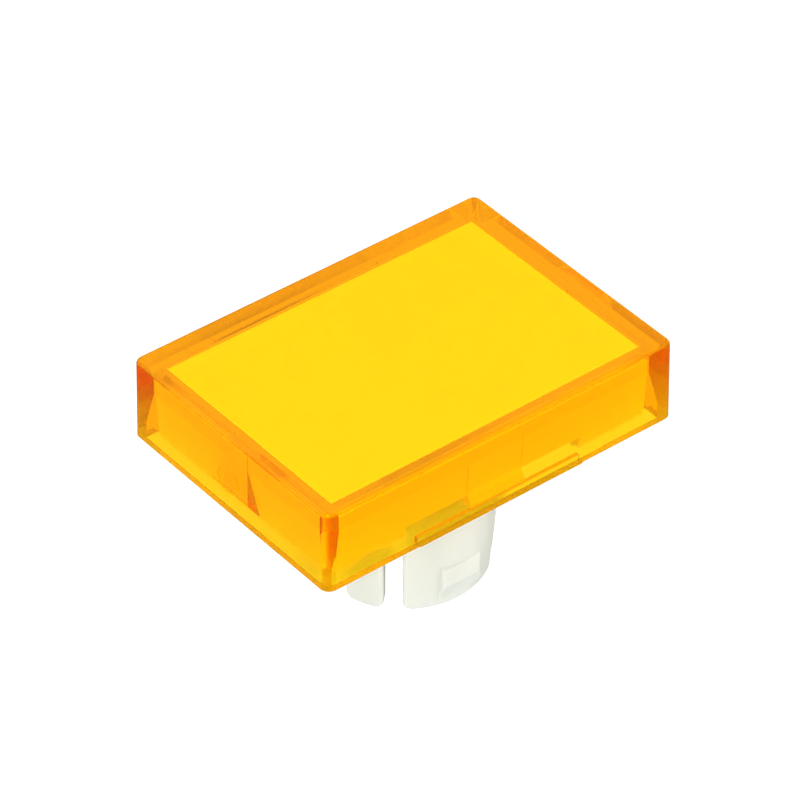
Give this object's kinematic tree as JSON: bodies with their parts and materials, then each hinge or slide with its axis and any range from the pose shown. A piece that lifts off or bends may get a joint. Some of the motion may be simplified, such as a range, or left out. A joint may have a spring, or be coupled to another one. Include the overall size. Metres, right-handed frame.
{
  "type": "pushbutton lens cap",
  "caption": "Rectangular amber snap-in cap for an illuminated pushbutton: a clear lens over an opal diffuser, on a round split stem with snap lugs.",
  "frame": {"origin": "on the stem's axis, in the plane of the legs' tips", "axes": "+Z out of the panel through the lens face, +X along the lens's long side, +Y across it"},
  "size_m": [0.0212, 0.0152, 0.0127],
  "materials": {
    "amber_lens": "transparent amber, polished",
    "opal_plastic": "opal white, satin",
    "stem_plastic": "milky natural white, satin"
  },
  "bodies": {
    "carrier": {"stem_carrier": "stem_plastic", "diffuser": "opal_plastic"},
    "lens": {"lens_cover": "amber_lens"},
    "latch_front": {"latch_tongue_front": "opal_plastic"},
    "latch_rear": {"latch_tongue_rear": "opal_plastic"},
    "leg_front": {"snap_leg_front": "stem_plastic"},
    "leg_rear": {"snap_leg_rear": "stem_plastic"},
    "leg_left": {"guide_leg_left": "stem_plastic"},
    "leg_right": {"guide_leg_right": "stem_plastic"}
  },
  "joints": [
    {"name": "lens_pull_off", "type": "slide", "parent": "carrier", "child": "lens", "axis": [0, 0, 1], "range_m": [0, 0.0095]},
    {"name": "latch_front_flex", "type": "hinge", "parent": "carrier", "child": "latch_front", "pos_m": [0, -0.00581, 0.011], "axis": [1, 0, 0], "range_deg": [0, 6], "stiffness_Nm_per_rad": 0.001},
    {"name": "latch_rear_flex", "type": "hinge", "parent": "carrier", "child": "latch_rear", "pos_m": [0, 0.00581, 0.011], "axis": [-1, 0, 0], "range_deg": [0, 6], "stiffness_Nm_per_rad": 0.001},
    {"name": "snap_leg_front_flex", "type": "hinge", "parent": "carrier", "child": "leg_front", "pos_m": [0, -0.0028, 0.006], "axis": [1, 0, 0], "range_deg": [0, 4.5], "stiffness_Nm_per_rad": 0.01},
    {"name": "snap_leg_rear_flex", "type": "hinge", "parent": "carrier", "child": "leg_rear", "pos_m": [0, 0.0028, 0.006], "axis": [-1, 0, 0], "range_deg": [0, 4.5], "stiffness_Nm_per_rad": 0.01},
    {"name": "guide_leg_left_flex", "type": "hinge", "parent": "carrier", "child": "leg_left", "pos_m": [-0.0028, 0, 0.006], "axis": [0, -1, 0], "range_deg": [0, 4.5], "stiffness_Nm_per_rad": 0.01},
    {"name": "guide_leg_right_flex", "type": "hinge", "parent": "carrier", "child": "leg_right", "pos_m": [0.0028, 0, 0.006], "axis": [0, 1, 0], "range_deg": [0, 4.5], "stiffness_Nm_per_rad": 0.01}
  ]
}
